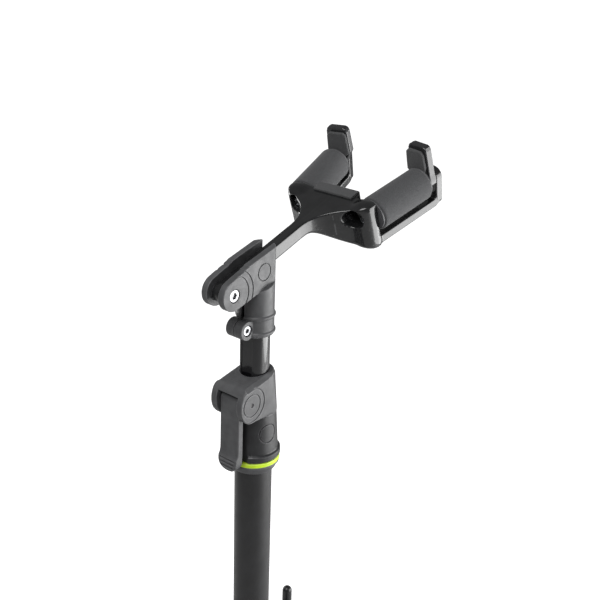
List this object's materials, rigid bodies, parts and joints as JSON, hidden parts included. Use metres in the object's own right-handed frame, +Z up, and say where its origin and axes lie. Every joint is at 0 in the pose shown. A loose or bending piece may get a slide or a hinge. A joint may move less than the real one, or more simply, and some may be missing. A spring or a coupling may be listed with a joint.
{
  "type": "saxophone stand",
  "caption": "Free-standing saxophone stand with a tripod base, cam-clamped telescoping mast, folding padded yoke with foam rollers, and an adjustable padded lower rest.",
  "frame": {"origin": "on the floor, at the middle of the footprint (bounding box bottom centre); the pole stands 65.7 mm towards +X of it", "axes": "+Z up along the pole, +X towards the open side of the yoke and the lower rest, +Y to the left of someone looking along +X"},
  "size_m": [0.4147, 0.4722, 0.6734],
  "materials": {
    "tube_black": "satin powder coat",
    "mast_black": "gloss black",
    "nylon_grey": "fine-textured glass-filled nylon",
    "nylon_black": "moulded",
    "collar_grey": "moulded",
    "accent_yellow": "bright moulded",
    "hub_grey": "fine texture",
    "bright_steel": "zinc plated",
    "shoe_zinc": "as cast",
    "cast_black": "gloss black over cast aluminium",
    "tab_black": "semi gloss",
    "rubber_black": "matte",
    "foam_grey": "closed-cell foam, matte"
  },
  "bodies": {
    "base": {"lower_tube": "tube_black", "clamp_body": "nylon_grey", "clamp_pin": "bright_steel", "clamp_shoe": "shoe_zinc", "accent_ring": "accent_yellow", "collar_ring": "collar_grey", "leg_hub": "hub_grey", "hub_pins": "bright_steel", "hub_plug": "nylon_black"},
    "lever": {"clamp_lever": "nylon_grey"},
    "mast": {"upper_tube": "mast_black", "mast_bush": "nylon_black", "head_body": "nylon_grey", "pinch_screw": "bright_steel", "pinch_nut": "bright_steel", "pivot_bolt": "bright_steel", "pivot_nut": "bright_steel", "pivot_washers": "nylon_black"},
    "yoke": {"yoke_casting": "cast_black", "yoke_strip": "rubber_black", "axle_left": "bright_steel", "axle_right": "bright_steel"},
    "roller_left": {"roller_core_left": "nylon_black", "roller_foam_left": "foam_grey"},
    "roller_right": {"roller_core_right": "nylon_black", "roller_foam_right": "foam_grey"},
    "tab_left": {"tab_left": "tab_black", "tab_pad_left": "rubber_black"},
    "tab_right": {"tab_right": "tab_black", "tab_pad_right": "rubber_black"},
    "leg_left": {"leg_tube_left": "tube_black", "leg_knuckle_left": "hub_grey", "foot_left": "rubber_black", "foot_ring_left": "accent_yellow"},
    "leg_right": {"leg_tube_right": "tube_black", "leg_knuckle_right": "hub_grey", "foot_right": "rubber_black", "foot_ring_right": "accent_yellow"},
    "leg_rear": {"leg_tube_rear": "tube_black", "leg_knuckle_rear": "hub_grey", "foot_rear": "rubber_black", "foot_ring_rear": "accent_yellow"},
    "rest": {"rest_collar": "hub_grey", "rest_fork": "tube_black", "rest_sleeve_left": "foam_grey", "rest_sleeve_right": "foam_grey"},
    "rest_knob": {"rest_knob": "nylon_black", "rest_stud": "bright_steel"}
  },
  "joints": [
    {"name": "mast_slide", "type": "slide", "parent": "base", "child": "mast", "axis": [0, 0, 1], "range_m": [-0.022, 0.15]},
    {"name": "clamp_lever", "type": "hinge", "parent": "base", "child": "lever", "pos_m": [0.04874, 0, 0.522], "axis": [0, 1, 0], "range_deg": [0, 90]},
    {"name": "yoke_fold", "type": "hinge", "parent": "mast", "child": "yoke", "pos_m": [0.03644, 0, 0.6], "axis": [0, -1, 0], "range_deg": [0, 200]},
    {"name": "roller_spin_left", "type": "hinge", "parent": "yoke", "child": "roller_left", "pos_m": [0.1457, 0.0293, 0.6314], "axis": [0.9383, 0.1564, 0.3085], "continuous": true},
    {"name": "tab_turn_left", "type": "hinge", "parent": "yoke", "child": "tab_left", "pos_m": [0.1457, 0.0293, 0.6314], "axis": [0.9383, 0.1564, 0.3085], "range_deg": [-90, 90]},
    {"name": "roller_spin_right", "type": "hinge", "parent": "yoke", "child": "roller_right", "pos_m": [0.1457, -0.0293, 0.6314], "axis": [0.9383, -0.1564, 0.3085], "continuous": true},
    {"name": "tab_turn_right", "type": "hinge", "parent": "yoke", "child": "tab_right", "pos_m": [0.1457, -0.0293, 0.6314], "axis": [0.9383, -0.1564, 0.3085], "range_deg": [-90, 90]},
    {"name": "leg_fold_left", "type": "hinge", "parent": "base", "child": "leg_left", "pos_m": [0.08074, 0.02598, 0.168], "axis": [-0.866, 0.5, 0], "range_deg": [0, 54]},
    {"name": "leg_fold_right", "type": "hinge", "parent": "base", "child": "leg_right", "pos_m": [0.08074, -0.02598, 0.168], "axis": [0.866, 0.5, 0], "range_deg": [0, 54]},
    {"name": "leg_fold_rear", "type": "hinge", "parent": "base", "child": "leg_rear", "pos_m": [0.03574, 0, 0.168], "axis": [0, -1, 0], "range_deg": [0, 54]},
    {"name": "rest_slide", "type": "slide", "parent": "base", "child": "rest", "axis": [0, 0, 1], "range_m": [-0.03, 0.15]},
    {"name": "rest_knob_turn", "type": "hinge", "parent": "rest", "child": "rest_knob", "pos_m": [0.03074, 0, 0.25], "axis": [1, 0, 0], "continuous": true}
  ]
}
